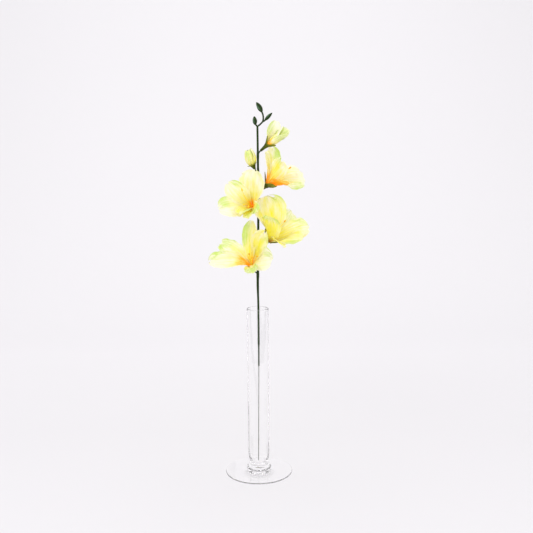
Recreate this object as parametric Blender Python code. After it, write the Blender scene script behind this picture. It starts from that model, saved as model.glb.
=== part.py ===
"""Artificial gladiolus stem standing in a footed glass bud vase. Metres, +Z up.

The origin is the centre of the foot's underside, on the vase's axis. The stem stands on the
vase's floor and leans on the back of its rim, at +Y, and the blooms look towards -Y. Lengths are
written in millimetres and multiplied by MM.
"""
import math
from typing import NamedTuple

import bmesh
import bpy
from mathutils import Vector

MM = 0.001
GAP = 0.3 * MM

# Vase
VASE_HEIGHT = 300 * MM
TUBE_RADIUS = 19.25 * MM
WALL = 2.0 * MM
FLOOR_Z = 18.0 * MM
FLOOR_RADIUS = 8.5 * MM
BORE_TAPER_TOP = 44 * MM
TUBE_TAPER_TOP = 46 * MM
WAIST_RADIUS = 13.2 * MM
WAIST_Z = 15.2 * MM
KNOP_RADIUS = 21.8 * MM
KNOP_MIDDLE_Z = 8.6 * MM
KNOP_BULGE = 4.6 * MM
FOOT_RADIUS = 60 * MM
FOOT_EDGE = 2.4 * MM
# The foot's top between the knop and its edge, as (radius, height)
FOOT_SLOPE = ((26 * MM, 3.5 * MM), (42 * MM, 2.8 * MM))
VASE_STEPS = 36

# Wire and stem
WIRE_RADIUS = 0.6 * MM
STEM_BORE_RADIUS = 0.9 * MM
WIRE_TOP_Z = 596 * MM
STEM_BOTTOM_Z = 193.1 * MM
STEM_TOP_Z = 615.2 * MM
NECK_RADIUS = 1.3 * MM
STEM_RADIUS = 1.85 * MM
STEM_THICK_RADIUS = 2.25 * MM
STEM_TIP_RADIUS = 1.8 * MM
# The stem's radius at a height
STEM_RADII = (
    (STEM_BOTTOM_Z, NECK_RADIUS),
    (226 * MM, NECK_RADIUS),
    (234 * MM, STEM_RADIUS),
    (322 * MM, STEM_RADIUS),
    (336 * MM, STEM_THICK_RADIUS),
    (STEM_TOP_Z, STEM_TIP_RADIUS),
)
STATION = 16 * MM
BORE_MARGIN = 2 * MM
BRANCH_RADIUS = 1.6 * MM
BRANCH_STRAIGHT = 0.8 * MM
BRANCH_STEPS = 5
BRANCH_END_RADIUS = 1.15 * MM
TWIG_RADIUS = 1.45 * MM

# The stem's centreline. At the vase's rim, y is worked out so that the stem leans on the rim.
RIM_X = 1.2 * MM
RIM_SEAT = TUBE_RADIUS - WALL - STEM_RADIUS - GAP
RIM_Y = math.sqrt(RIM_SEAT ** 2 - RIM_X ** 2)
STEM_ROUTE = (
    (-1.0 * MM, 0.1 * MM, FLOOR_Z + GAP),
    (1.1 * MM, 9.4 * MM, 193 * MM),
    (RIM_X, RIM_Y, 299 * MM),
    (0.5 * MM, 17.0 * MM, 340 * MM),
    (1.0 * MM, 18.1 * MM, 366 * MM),
    (2.4 * MM, 21.6 * MM, 452 * MM),
    (2.8 * MM, 24.2 * MM, 530 * MM),
    (2.4 * MM, 26.0 * MM, STEM_TOP_Z),
)

# Petals: distances are from the bloom's base, and angles are in degrees
PETAL_THICKNESS = 0.7 * MM
PETAL_COLUMNS = 4
PETAL_ROWS = 7
BUD_PETAL_ROWS = 5
OPEN_RING_RADIUS = 4.2 * MM
CLAW_WIDTH = 5.2 * MM
INNER_CLAW_SHARE = 0.85
OUTER_CLAW_RADIUS = 3.3 * MM
INNER_CLAW_RADIUS = 2.5 * MM
OUTER_CLAW_ANGLE = 40
INNER_CLAW_ANGLE = 27
CLAW_REACH = 0.3
TIP_REACH = 0.35
CLAW_CUP = 70
CUP_OPENS_BY = 0.625

TIP_WIDTH = 0.12
WAVES = 1.2
WAVE_SHIFT = 1.9
LAST_ROW_SHARE = 0.12

# The ring that joins a corolla's petals
RING_LOW = 1.35 * MM
RING_HIGH = 2.55 * MM
RING_HOLE_RADIUS = 1.3 * MM
RING_COLUMNS = 12

# Calyx: a sleeve on the branch, a cup round the ring, and a peg through it
CALYX_COLUMNS = 12
CALYX_FLOOR = 1.0 * MM
CALYX_WALL = 0.8 * MM
CUP_CLEARANCE = 0.6 * MM
LIP_BELOW_RING = 0.3 * MM
LIP_LENGTH = 2.5 * MM
LOBE_SHARPNESS = 1.3
SLEEVE_RADIUS = 2.2 * MM
SLEEVE_SWELL = 1.15
SOCKET_RADIUS = 1.5 * MM
SOCKET_DEPTH = 4 * MM
PEG_RADIUS = 0.8 * MM
PEG_TOP = 4.4 * MM
BUD_PEG_TOP = 3.2 * MM

# Stamen cluster
CAP_COLUMNS = 8
CAP_RADIUS = 1.7 * MM
CAP_SHOULDER = 2 * MM
CAP_HEIGHT = 2.4 * MM
FILAMENT_RADIUS = 0.5 * MM
FILAMENT_ROOT = 1.2 * MM
FILAMENT_STEPS = 5
ANTHER_RADIUS = 1.1 * MM
ANTHER_LENGTH = 5.5 * MM
# A closed body's radius along it, each as a share of the whole
ANTHER_SHAPE = ((-0.5, 0.4), (-0.2, 0.95), (0.15, 1.0), (0.5, 0.35))
CLOSED_BUD_SHAPE = ((0, 0.3), (0.1, 0.62), (0.25, 0.9), (0.45, 1.0), (0.65, 0.84), (0.85, 0.42), (1, 0.1))


class Petal(NamedTuple):
    """One blade. Its claw stands around degrees about the axis from the top.

    The tip is in mm from the bloom's base. At the tip the left and right sides bend by their own
    angles, and the blade is rolled about its midrib. Curl turns the tip outwards. Full is the share
    of the length at which the blade is widest.
    """
    around: float
    tip: tuple
    width: float
    outer: bool
    left: float = 15
    right: float = 15
    roll: float = 0
    curl: float = 0.35
    wave: float = 2.0
    full: float = 0.6


class Bloom(NamedTuple):
    """A corolla in its calyx, on a side branch that leaves the stem at the height root.

    Lengths are in mm and angles in degrees. Opening widens the angle that the petals leave at.
    """
    name: str
    base: tuple
    axis: tuple
    root: float
    petals: tuple
    anthers: tuple = ()
    ring_radius: float = 4.2
    lobe_slope: float = 52
    lobe_length: float = 15
    lobe_turn: float = 0
    sleeve: float = 9
    opening: float = 0


BLOOMS = (
    Bloom("bloom_top_right", (16.4, 19.5, 512.9), (0.76, -0.10, 0.64), 492, (
        Petal(10, (1, 3, 61), 30, True, 10, 30, roll=-30),
        Petal(70, (28, -38, 43), 36, False, full=0.72),
        Petal(130, (42, -34, 6), 28, True, roll=20),
        Petal(190, (69, 8, 3), 36, False, roll=40),
        Petal(250, (63, 32, 23), 40, True),
        Petal(310, (12, 30, 68), 38, False, roll=-20),
    ), ((31, -4, 24), (42, 2, 31), (27, -7, 18)), lobe_slope=51, lobe_length=19),
    Bloom("bloom_left", (-7.3, 11.3, 477.4), (-0.37, -0.86, 0.35), 466, (
        Petal(48, (-42, -23, 43), 36, False),
        Petal(105, (-58, -34, -1), 44, True),
        Petal(160, (-20, -52, -9), 28, False),
        Petal(212, (-6, -54, -16), 24, True),
        Petal(270, (9, -52, -6), 24, False),
        Petal(345, (4, -18, 65), 50, True, full=0.55),
    ), ((-17, -32, 31), (-14, -40, 6), (-6, -38, 3)), lobe_turn=20),
    Bloom("bloom_right", (18.3, 12.1, 417.3), (0.64, -0.43, 0.64), 398, (
        Petal(78, (3, -48, 46), 40, True, roll=50, full=0.5),
        Petal(128, (26, -56, -4), 22, False),
        Petal(180, (60, -38, 6), 38, True, roll=40, full=0.7),
        Petal(232, (73, -2, 24), 46, False, full=0.7),
        Petal(285, (44, 41, 49), 38, True),
        Petal(335, (1, 4, 79), 55, False, roll=-50, full=0.7),
    ), ((30, -18, 36), (20, -24, 29), (12, -20, 40)), lobe_slope=56, lobe_length=17),
    Bloom("bloom_low_left", (-8.3, 5.2, 372.6), (-0.35, -0.50, 0.79), 356, (
        Petal(10, (-1, 5, 82), 30, False),
        Petal(70, (-58, 30, 40), 36, True),
        Petal(130, (-76, -6, 11), 51, False),
        Petal(200, (3, -60, -2), 24, True),
        Petal(262, (36, -46, 20), 44, False, roll=40),
        Petal(318, (24, -26, 66), 34, True, roll=50),
    ), ((-5, -24, 26), (0, -28, 20), (9, -34, 23)), lobe_length=13, lobe_turn=50),
)


# The left bud's petals turn up from their calyx
LEFT_BUD_HEADING = Vector((-0.27, -0.10, 0.96)).normalized()


def bud_petal(around, along, out, width, outer, curl):
    """A petal of the left bud, which bulges low down and closes over the others at its tip."""
    first = (Vector((0, 0, 1)) - LEFT_BUD_HEADING * LEFT_BUD_HEADING.z).normalized()
    turn = math.radians(around)
    side = first * math.cos(turn) + LEFT_BUD_HEADING.cross(first) * math.sin(turn)
    tip = tuple(LEFT_BUD_HEADING * along + side * out)
    return Petal(around, tip, width, outer, 55, 55, curl=curl, wave=1, full=0.45)


BUDS = (
    Bloom("bud_right", (17.4, 24.0, 582.2), (0.75, -0.12, 0.65), 565, (
        Petal(310, (18, 6, 43), 26, True, 50, 40, roll=-50, curl=0.1, wave=1),
        Petal(60, (29, -5, 33), 20, False, 55, 55, roll=-20, curl=0.1, wave=1),
        Petal(150, (38, -9, 16), 24, True, 55, 55, curl=0.1, wave=1),
        Petal(235, (40, 8, 27), 24, False, 55, 55, curl=0.1, wave=1),
    ), ring_radius=3.6, lobe_slope=34, lobe_length=14, lobe_turn=32, sleeve=13, opening=7),
    Bloom("bud_left", (-5.0, 22.5, 546.8), (-0.42, -0.12, 0.90), 536, (
        bud_petal(350, 32, 5, 25, True, -0.6),
        bud_petal(80, 30, 5, 20, False, -0.7),
        bud_petal(170, 31, 6, 24, True, -0.8),
        bud_petal(260, 31, 5, 20, False, -0.7),
    ), ring_radius=3.6, lobe_slope=66, lobe_length=5.5, lobe_turn=60, sleeve=5.5, opening=30),
)

# The fork: the twigs' routes and the closed buds' ends and radii, in mm
FORK = (2.4, 26.0, 615.2)
SECOND_FORK = (11.2, 26.6, 623.1)
TWIGS = (
    (FORK, (0.6, 25.7, 617.0), (-1.5, 25.2, 619.6)),
    (FORK, (6.4, 26.2, 618.3), SECOND_FORK, (12.6, 27.2, 628.5), (12.0, 27.6, 635.5), (9.4, 28.0, 642.0)),
    (SECOND_FORK, (14.0, 27.4, 624.6), (17.0, 28.6, 627.2)),
)
CLOSED_BUDS = (
    ((-1.4, 25.2, 618.4), (-3.0, 23.0, 632.8), 3.9),
    ((10.2, 27.9, 640.2), (0.8, 29.5, 656.8), 4.3),
    ((15.6, 28.1, 626.0), (28.4, 32.0, 638.8), 3.1),
)


def clear_scene():
    """Remove the objects that the scene starts with."""
    for obj in list(bpy.data.objects):
        bpy.data.objects.remove(obj)


def material(name, colour, roughness, alpha=1.0):
    """A plain Principled material."""
    made = bpy.data.materials.new(name)
    made.use_nodes = True
    shader = made.node_tree.nodes["Principled BSDF"]
    shader.inputs["Base Color"].default_value = (*colour, 1.0)
    shader.inputs["Roughness"].default_value = roughness
    shader.inputs["Metallic"].default_value = 0.0
    shader.inputs["Alpha"].default_value = alpha
    return made


def place(name, mesh):
    """Put a mesh into the scene as an object."""
    obj = bpy.data.objects.new(name, mesh)
    bpy.context.scene.collection.objects.link(obj)
    return obj


def evaluated_mesh(obj):
    """The object's mesh with its modifiers or bevel applied."""
    graph = bpy.context.evaluated_depsgraph_get()
    return bpy.data.meshes.new_from_object(obj.evaluated_get(graph))


def dress(obj, look, sharp=40):
    """Give an object its material and smooth shading."""
    obj.data.materials.clear()
    obj.data.materials.append(look)
    obj.data.shade_smooth()
    obj.data.set_sharp_from_angle(angle=math.radians(sharp))


def boolean(obj, operation, others):
    """Join or cut with a group of solids, apply it, and remove them."""
    group = bpy.data.collections.new("operands")
    bpy.context.scene.collection.children.link(group)
    for other in others:
        group.objects.link(other)
    step = obj.modifiers.new(operation.lower(), "BOOLEAN")
    step.operation = operation
    step.operand_type = "COLLECTION"
    step.collection = group
    step.solver = "EXACT"
    mesh = evaluated_mesh(obj)
    obj.modifiers.clear()
    obj.data = mesh
    for other in others:
        bpy.data.objects.remove(other)
    bpy.data.collections.remove(group)
    keep_largest_body(obj)


def keep_largest_body(obj):
    """Fill hollows that joining sealed, and drop loose scraps: keep the largest shell only."""
    solid = bmesh.new()
    solid.from_mesh(obj.data)
    unseen = set(solid.verts)
    shells = []
    while unseen:
        shell = set()
        reach = [next(iter(unseen))]
        while reach:
            vert = reach.pop()
            if vert in shell:
                continue
            shell.add(vert)
            reach.extend(edge.other_vert(vert) for edge in vert.link_edges)
        unseen -= shell
        shells.append(shell)
    shells.sort(key=len)
    for shell in shells[:-1]:
        bmesh.ops.delete(solid, geom=list(shell), context="VERTS")
    solid.to_mesh(obj.data)
    solid.free()


def vase_profile():
    """Half the vase's section, from the floor's centre over the rim and down to the underside."""
    bore = TUBE_RADIUS - WALL
    points = [(0.0, FLOOR_Z)]
    quarter = [math.radians(angle) for angle in (0, 18, 36, 54, 72, 90)]
    for angle in quarter:
        points.append((FLOOR_RADIUS + (bore - FLOOR_RADIUS) * math.sin(angle),
                       FLOOR_Z + (BORE_TAPER_TOP - FLOOR_Z) * (1 - math.cos(angle))))
    lip = WALL / 2
    for angle in (180, 135, 90, 45, 0):
        turn = math.radians(angle)
        points.append((bore + lip + lip * math.cos(turn), VASE_HEIGHT - lip + lip * math.sin(turn)))
    for angle in reversed(quarter[1:]):
        points.append((WAIST_RADIUS + (TUBE_RADIUS - WAIST_RADIUS) * math.sin(angle),
                       WAIST_Z + (TUBE_TAPER_TOP - WAIST_Z) * (1 - math.cos(angle))))
    for angle in (72, 45, 18, -9, -36, -66):
        turn = math.radians(angle)
        points.append((KNOP_RADIUS - KNOP_BULGE + KNOP_BULGE * math.cos(turn),
                       KNOP_MIDDLE_Z + KNOP_BULGE * math.sin(turn)))
    points.extend(FOOT_SLOPE)
    edge = FOOT_EDGE / 2
    for angle in (90, 30, -30, -90):
        turn = math.radians(angle)
        points.append((FOOT_RADIUS - edge + edge * math.cos(turn), edge + edge * math.sin(turn)))
    points.append((0.0, 0.0))
    return points


def make_vase(look):
    """Turn the vase's section round the vertical axis."""
    mesh = bpy.data.meshes.new("vase")
    points = vase_profile()
    edges = [(index, index + 1) for index in range(len(points) - 1)]
    mesh.from_pydata([(radius, 0.0, height) for radius, height in points], edges, [])
    vase = place("vase", mesh)
    turned = vase.modifiers.new("turn", "SCREW")
    turned.axis = "Z"
    turned.angle = math.tau
    turned.steps = VASE_STEPS
    turned.render_steps = VASE_STEPS
    turned.use_merge_vertices = True
    turned.merge_threshold = 0.00001
    turned.use_smooth_shade = True
    dress(vase, look)


def table(rows, value):
    """Read a table of (key, value) rows between its keys."""
    for (low, first), (high, second) in zip(rows, rows[1:]):
        if value <= high:
            share = max(0.0, (value - low) / (high - low))
            return first + (second - first) * share
    return rows[-1][1]


def stem_point(height):
    """The stem's centreline at a height: a smooth curve through its route."""
    last = len(STEM_ROUTE) - 2
    at = next((i for i in range(last) if height <= STEM_ROUTE[i + 1][2]), last)
    ends = [Vector(STEM_ROUTE[i]) for i in (max(at - 1, 0), at, at + 1, min(at + 2, last + 1))]
    before, start, end, after = ends
    span = end.z - start.z
    leave = (end - before) / (end.z - before.z) * span
    arrive = (after - start) / (after.z - start.z) * span
    share = (height - start.z) / span
    square, cube = share ** 2, share ** 3
    point = (start * (2 * cube - 3 * square + 1) + leave * (cube - 2 * square + share)
             + end * (3 * square - 2 * cube) + arrive * (cube - square))
    point.z = height
    return point


def heights(low, high):
    """Even stations along the stem between two levels."""
    count = max(2, round((high - low) / STATION))
    return [low + (high - low) * step / count for step in range(count + 1)]


def rod(name, points, radii, detail=2):
    """A round rod through points, with a radius at each and closed ends."""
    curve = bpy.data.curves.new(name, "CURVE")
    curve.dimensions = "3D"
    curve.bevel_depth = 1.0
    curve.bevel_resolution = detail
    curve.use_fill_caps = True
    line = curve.splines.new("POLY")
    line.points.add(len(points) - 1)
    for point, place_at, radius in zip(line.points, points, radii):
        point.co = (*place_at, 1.0)
        point.radius = radius
    bent = place(name + "_curve", curve)
    mesh = evaluated_mesh(bent)
    bpy.data.objects.remove(bent)
    solid = bmesh.new()
    solid.from_mesh(mesh)
    bmesh.ops.remove_doubles(solid, verts=solid.verts, dist=1e-6)
    bmesh.ops.recalc_face_normals(solid, faces=solid.faces)
    solid.to_mesh(mesh)
    solid.free()
    return place(name, mesh)


def bezier(start, leave, arrive, end, share):
    """A point on a cubic curve."""
    rest = 1 - share
    return (start * rest ** 3 + leave * (3 * rest ** 2 * share)
            + arrive * (3 * rest * share ** 2) + end * share ** 3)


def bloom_frame(bloom):
    """The bloom's base, its axis, and two directions square to it, the first one upwards."""
    axis = Vector(bloom.axis).normalized()
    up = Vector((0, 0, 1))
    first = (up - axis * up.dot(axis)).normalized()
    return Vector(bloom.base) * MM, axis, first, axis.cross(first)


def branch(bloom):
    """The side branch from inside the stem to the socket in the bloom's calyx."""
    base, axis = bloom_frame(bloom)[:2]
    start = stem_point(bloom.root * MM)
    mouth = base - axis * (bloom.sleeve * MM + BRANCH_STRAIGHT)
    reach = (mouth - start).length
    leave = start + Vector((0, 0, 1)) * reach * 0.35 + (mouth - start) * 0.2
    arrive = mouth - axis * reach * 0.4
    shares = [step / BRANCH_STEPS for step in range(BRANCH_STEPS + 1)]
    points = [bezier(start, leave, arrive, mouth, share) for share in shares]
    points.append(base - axis * (bloom.sleeve * MM - SOCKET_DEPTH + GAP))
    radii = [BRANCH_RADIUS + (BRANCH_END_RADIUS - BRANCH_RADIUS) * share for share in shares]
    return rod("branch", points, radii + [BRANCH_END_RADIUS], 1)


def closed_bud(foot, tip, radius):
    """A closed green bud: an almond on the end of its twig."""
    foot, tip = Vector(foot) * MM, Vector(tip) * MM
    points = [foot.lerp(tip, share) for share, full in CLOSED_BUD_SHAPE]
    return rod("closed_bud", points, [full * radius * MM for share, full in CLOSED_BUD_SHAPE])


def make_stem(look):
    """The green moulding: stem, branches, forked top and closed buds, bored for the wire."""
    levels = heights(STEM_BOTTOM_Z, STEM_TOP_Z)
    radii = [table(STEM_RADII, level) for level in levels]
    stem = rod("stem", [stem_point(level) for level in levels], radii)
    limbs = [branch(bloom) for bloom in BLOOMS + BUDS]
    for route in TWIGS:
        points = [Vector(point) * MM for point in route]
        limbs.append(rod("twig", points, [TWIG_RADIUS] * len(points)))
    limbs.extend(closed_bud(*row) for row in CLOSED_BUDS)
    boolean(stem, "UNION", limbs)
    levels = heights(STEM_BOTTOM_Z - BORE_MARGIN, WIRE_TOP_Z + BORE_MARGIN)
    bore = rod("bore", [stem_point(level) for level in levels], [STEM_BORE_RADIUS] * len(levels), 1)
    boolean(stem, "DIFFERENCE", [bore])
    dress(stem, look)


def make_wire(look):
    """The wire, from the vase's floor up inside the stem."""
    levels = heights(FLOOR_Z + GAP, WIRE_TOP_Z)
    wire = rod("stem_wire", [stem_point(level) for level in levels], [WIRE_RADIUS] * len(levels), 1)
    dress(wire, look)


def turned_body(name, bloom, bottom, rings, top):
    """A closed body round the bloom's axis; a ring gives (along, radius) for each column."""
    base, axis, first, second = bloom_frame(bloom)
    columns = len(rings[0])
    solid = bmesh.new()

    def vert(column, along, radius):
        turn = math.tau * column / columns + math.radians(bloom.lobe_turn)
        out = first * math.cos(turn) + second * math.sin(turn)
        return solid.verts.new(base + axis * along + out * radius)

    foot = vert(0, bottom, 0.0)
    loops = [[vert(i, *ring[i]) for i in range(columns)] for ring in rings]
    head = vert(0, top, 0.0)
    for i in range(columns):
        after = (i + 1) % columns
        solid.faces.new((foot, loops[0][i], loops[0][after]))
        solid.faces.new((head, loops[-1][after], loops[-1][i]))
        for low, high in zip(loops, loops[1:]):
            solid.faces.new((low[i], high[i], high[after], low[after]))
    bmesh.ops.triangulate(solid, faces=solid.faces)
    bmesh.ops.recalc_face_normals(solid, faces=solid.faces)
    mesh = bpy.data.meshes.new(name)
    solid.to_mesh(mesh)
    solid.free()
    return place(name, mesh)


def make_calyx(bloom, look):
    """The green cup: a sleeve on the branch, three pointed lobes, and a peg for the corolla."""
    slope = math.radians(bloom.lobe_slope)
    cup = bloom.ring_radius * MM + CUP_CLEARANCE
    outside = cup + CALYX_WALL
    bottom = -bloom.sleeve * MM
    lip = RING_HIGH - LIP_BELOW_RING
    longest = bloom.lobe_length * MM
    top = PEG_TOP if bloom.anthers else BUD_PEG_TOP

    def level(along, radius):
        return [(along, radius)] * CALYX_COLUMNS

    def lobe(share, inset):
        ring = []
        for column in range(CALYX_COLUMNS):
            rise = (1 + math.cos(3 * math.tau * column / CALYX_COLUMNS)) / 2
            reach = share * (LIP_LENGTH + (longest - LIP_LENGTH) * rise ** LOBE_SHARPNESS)
            ring.append((lip + reach * math.cos(slope) + inset * math.sin(slope),
                         outside + reach * math.sin(slope) - inset * math.cos(slope)))
        return ring

    rings = [
        level(bottom + SOCKET_DEPTH, SOCKET_RADIUS),
        level(bottom, SOCKET_RADIUS),
        level(bottom, SLEEVE_RADIUS),
        level(bottom * 0.45, SLEEVE_RADIUS * SLEEVE_SWELL),
        level(-0.5 * MM, outside * 0.75),
        lobe(0.0, 0.0),
        lobe(0.5, 0.0),
        lobe(1.0, CALYX_WALL * 0.1),
        lobe(0.97, CALYX_WALL * 0.8),
        lobe(0.5, CALYX_WALL),
        level(lip, cup),
        level(CALYX_FLOOR, cup - CALYX_WALL * 0.1),
        level(CALYX_FLOOR, PEG_RADIUS),
        level(top, PEG_RADIUS),
    ]
    calyx = turned_body(bloom.name + "_calyx", bloom, bottom + SOCKET_DEPTH, rings, top)
    dress(calyx, look, 60)


def outline(share, full):
    """A petal's half-width along it, from 0 at the claw to 1 where it is full."""
    if share < full:
        return math.sin(math.pi / 2 * share / full) ** 1.2
    over = (share - full) / (1 - full)
    return max(TIP_WIDTH, math.sqrt(max(0.0, 1 - over ** 2.5)))


def petal_blade(bloom, petal):
    """A thin waved blade, cupped at its claw, whose sides roll by their own angles at its tip."""
    base, axis, first, second = bloom_frame(bloom)
    turn = math.radians(petal.around)
    out = first * math.cos(turn) + second * math.sin(turn)
    reach = Vector(petal.tip) * MM
    length = reach.length
    chord = reach.normalized()
    away = (chord * chord.dot(axis) - axis).normalized()
    rows = PETAL_ROWS if bloom.anthers else BUD_PETAL_ROWS
    scale = bloom.ring_radius * MM / OPEN_RING_RADIUS
    root = (OUTER_CLAW_RADIUS if petal.outer else INNER_CLAW_RADIUS) * scale
    angle = math.radians((OUTER_CLAW_ANGLE if petal.outer else INNER_CLAW_ANGLE) + bloom.opening)
    claw = CLAW_WIDTH / 2 * scale * (1.0 if petal.outer else INNER_CLAW_SHARE)
    widest = petal.width * MM / 2
    start = base + axis * (RING_LOW + RING_HIGH) / 2 + out * root
    leave = start + (axis * math.cos(angle) + out * math.sin(angle)) * length * CLAW_REACH
    end = base + reach
    arrive = end - (chord + away * petal.curl).normalized() * length * TIP_REACH
    side_low = axis.cross(out)
    side_high = axis.cross(reach).normalized()

    def surface(column, row):
        across = 2 * column / PETAL_COLUMNS - 1
        share = row / rows
        share *= 1 + LAST_ROW_SHARE * (1 - share)
        middle = bezier(start, leave, arrive, end, share)
        along = (bezier(start, leave, arrive, end, min(1.0, share + 0.01))
                 - bezier(start, leave, arrive, end, max(0.0, share - 0.01))).normalized()
        ease = share * share * (3 - 2 * share)
        side = side_low.lerp(side_high, ease)
        side = (side - along * side.dot(along)).normalized()
        inward = along.cross(side)
        roll = math.radians(petal.roll) * ease
        side, inward = (side * math.cos(roll) + inward * math.sin(roll),
                        inward * math.cos(roll) - side * math.sin(roll))
        half = widest * outline(share, petal.full)
        if share < petal.full:
            half += claw * (1 - outline(share, petal.full))
        sign = 1 if across > 0 else -1
        edge = petal.right if across > 0 else petal.left
        bend = math.radians(CLAW_CUP + (edge - CLAW_CUP) * min(1.0, share / CUP_OPENS_BY))
        turned = bend * abs(across)
        ripple = math.sin(math.tau * WAVES * share + (WAVE_SHIFT if across > 0 else 0))
        sideways = half * math.sin(turned) / bend * sign
        lift = half * (1 - math.cos(turned)) / bend + petal.wave * MM * (share * across) ** 2 * ripple
        normal = inward * math.cos(turned) - side * math.sin(turned) * sign
        return middle + side * sideways + inward * lift, normal

    return blade_solid(surface, PETAL_COLUMNS, rows)


def blade_solid(surface, columns, rows):
    """A closed sheet over a grid, its faces split into triangles alike on both sides."""
    solid = bmesh.new()
    faces = []
    for side in (0.5, -0.5):
        grid = []
        for row in range(rows + 1):
            line = []
            for column in range(columns + 1):
                point, normal = surface(column, row)
                line.append(solid.verts.new(point + normal * PETAL_THICKNESS * side))
            grid.append(line)
        faces.append(grid)
    for grid, inner in zip(faces, (True, False)):
        for row in range(rows):
            for column in range(columns):
                a, b = grid[row][column], grid[row][column + 1]
                c, d = grid[row + 1][column + 1], grid[row + 1][column]
                pair = ((a, b, c), (a, c, d)) if column * 2 < columns else ((a, b, d), (b, c, d))
                for three in pair:
                    solid.faces.new(three if inner else three[::-1])
    inner, outer = faces
    rim = [(0, column) for column in range(columns)] + [(row, columns) for row in range(rows)]
    rim += [(rows, column) for column in range(columns, 0, -1)] + [(row, 0) for row in range(rows, 0, -1)]
    for (row, column), (row_after, column_after) in zip(rim, rim[1:] + rim[:1]):
        a, b = inner[row][column], inner[row_after][column_after]
        c, d = outer[row_after][column_after], outer[row][column]
        solid.faces.new((b, a, c))
        solid.faces.new((a, d, c))
    bmesh.ops.recalc_face_normals(solid, faces=solid.faces)
    mesh = bpy.data.meshes.new("blade")
    solid.to_mesh(mesh)
    solid.free()
    return place("blade", mesh)


def make_corolla(bloom, look):
    """The cloth petals, joined by the ring that their claws are sunk in."""
    hole = RING_HOLE_RADIUS
    rim = bloom.ring_radius * MM
    base, axis, first, second = bloom_frame(bloom)
    solid = bmesh.new()
    loops = []
    for along, radius in ((RING_LOW, hole), (RING_LOW, rim), (RING_HIGH, rim), (RING_HIGH, hole)):
        loop = []
        for column in range(RING_COLUMNS):
            turn = math.tau * column / RING_COLUMNS
            out = first * math.cos(turn) + second * math.sin(turn)
            loop.append(solid.verts.new(base + axis * along + out * radius))
        loops.append(loop)
    for low, high in zip(loops, loops[1:] + loops[:1]):
        for i in range(RING_COLUMNS):
            after = (i + 1) % RING_COLUMNS
            solid.faces.new((low[i], low[after], high[after], high[i]))
    bmesh.ops.recalc_face_normals(solid, faces=solid.faces)
    mesh = bpy.data.meshes.new("ring")
    solid.to_mesh(mesh)
    solid.free()
    corolla = place(bloom.name + "_petals", mesh)
    boolean(corolla, "UNION", [petal_blade(bloom, petal) for petal in bloom.petals])
    dress(corolla, look, 70)


def make_stamens(bloom, look):
    """The stamen cluster: a cap on the calyx's peg, three filaments and their anthers."""
    base, axis = bloom_frame(bloom)[:2]
    low = RING_HIGH + GAP
    high = PEG_TOP + GAP
    socket = PEG_RADIUS + GAP
    levels = ((high, socket), (low, socket), (low, CAP_RADIUS), (PEG_TOP, CAP_RADIUS),
              (PEG_TOP + CAP_SHOULDER, CAP_RADIUS * 0.6))
    rings = [[level] * CAP_COLUMNS for level in levels]
    cap = turned_body(bloom.name + "_stamens", bloom, high, rings, PEG_TOP + CAP_HEIGHT)
    start = base + axis * (PEG_TOP + FILAMENT_ROOT)
    limbs = []
    for anther in bloom.anthers:
        end = base + Vector(anther) * MM
        leave = start + axis * (end - start).length * 0.45
        arrive = end.lerp(leave, 0.3)
        shares = [step / FILAMENT_STEPS for step in range(FILAMENT_STEPS + 1)]
        points = [bezier(start, leave, arrive, end, share) for share in shares]
        limbs.append(rod("filament", points, [FILAMENT_RADIUS] * len(points), 1))
        along = (points[-1] - points[-2]).normalized()
        spots = [end + along * ANTHER_LENGTH * share for share, full in ANTHER_SHAPE]
        limbs.append(rod("anther", spots, [ANTHER_RADIUS * full for share, full in ANTHER_SHAPE], 1))
    boolean(cap, "UNION", limbs)
    dress(cap, look)


def main():
    """Build every piece."""
    clear_scene()
    glass = material("clear_glass", (0.93, 0.95, 0.96), 0.03, 0.25)
    green = material("green_plastic", (0.045, 0.075, 0.035), 0.5)
    calyx_green = material("olive_plastic", (0.12, 0.17, 0.03), 0.5)
    cloth = material("yellow_cloth", (0.93, 0.83, 0.30), 0.85)
    orange = material("orange_plastic", (0.85, 0.32, 0.03), 0.55)
    wire = material("wrapped_wire", (0.24, 0.30, 0.20), 0.5)
    make_vase(glass)
    make_wire(wire)
    make_stem(green)
    for bloom in BLOOMS + BUDS:
        make_calyx(bloom, calyx_green)
        make_corolla(bloom, cloth)
        if bloom.anthers:
            make_stamens(bloom, orange)


main()
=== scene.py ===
from math import atan2, cos, exp, pi, radians, sin, sqrt, tau
from typing import NamedTuple

import bmesh
import bpy
from mathutils import Euler, Matrix, Vector, noise


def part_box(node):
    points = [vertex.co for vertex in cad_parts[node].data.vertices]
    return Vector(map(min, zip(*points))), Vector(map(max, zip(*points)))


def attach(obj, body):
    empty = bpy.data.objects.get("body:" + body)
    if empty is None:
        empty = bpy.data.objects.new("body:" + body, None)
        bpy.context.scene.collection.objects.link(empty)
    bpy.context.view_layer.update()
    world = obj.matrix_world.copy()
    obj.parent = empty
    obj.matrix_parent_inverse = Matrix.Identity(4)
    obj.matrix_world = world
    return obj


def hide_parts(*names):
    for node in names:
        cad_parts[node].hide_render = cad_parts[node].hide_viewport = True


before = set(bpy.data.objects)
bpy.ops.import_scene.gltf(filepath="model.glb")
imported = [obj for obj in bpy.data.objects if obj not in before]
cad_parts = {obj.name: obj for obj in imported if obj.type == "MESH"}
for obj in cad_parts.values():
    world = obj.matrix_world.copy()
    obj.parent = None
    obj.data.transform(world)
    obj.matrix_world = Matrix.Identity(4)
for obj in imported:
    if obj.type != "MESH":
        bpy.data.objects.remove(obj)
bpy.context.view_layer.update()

SCENE = bpy.context.scene
MM = 0.001
BODY = "root"
UP = Vector((0.0, 0.0, 1.0))

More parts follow.
